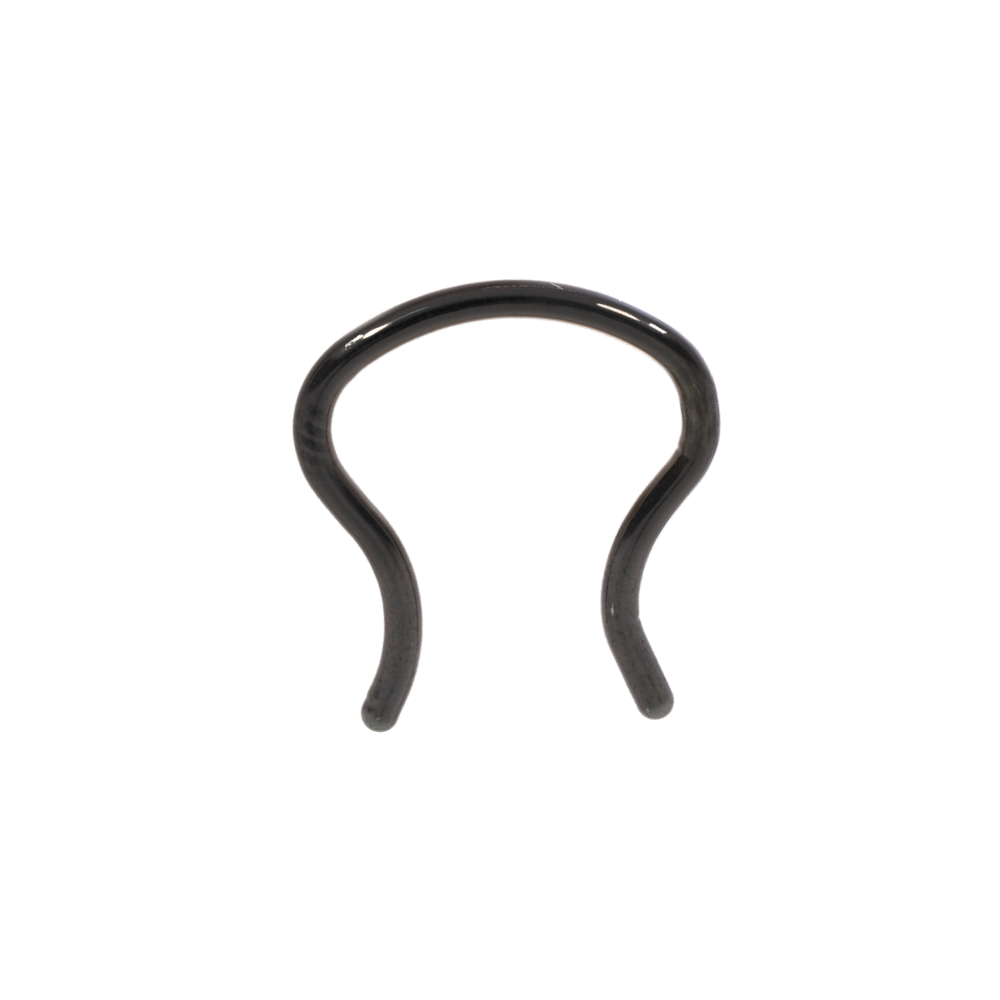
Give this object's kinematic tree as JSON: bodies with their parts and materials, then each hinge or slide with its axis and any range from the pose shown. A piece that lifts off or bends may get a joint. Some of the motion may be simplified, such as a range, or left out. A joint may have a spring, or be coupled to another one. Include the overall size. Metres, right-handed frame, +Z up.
{
  "type": "septum retainer",
  "caption": "Black round wire bent into an omega: a wide crown that sits in the piercing, rounded shoulders, a narrow waist and ends that turn outwards to rounded tips.",
  "frame": {"origin": "middle of the part's box in X and Y, at the surface that the wire lies on", "axes": "+Y from the open ends towards the crown, +Z up out of the plane of the wire, +X to the right with the crown at the top"},
  "size_m": [0.0136, 0.015, 0.0012],
  "materials": {
    "black_wire": "glossy black coating on drawn surgical steel wire, with faint drawing lines and tool marks"
  },
  "bodies": {
    "root": {"retainer_wire": "black_wire"}
  },
  "joints": []
}
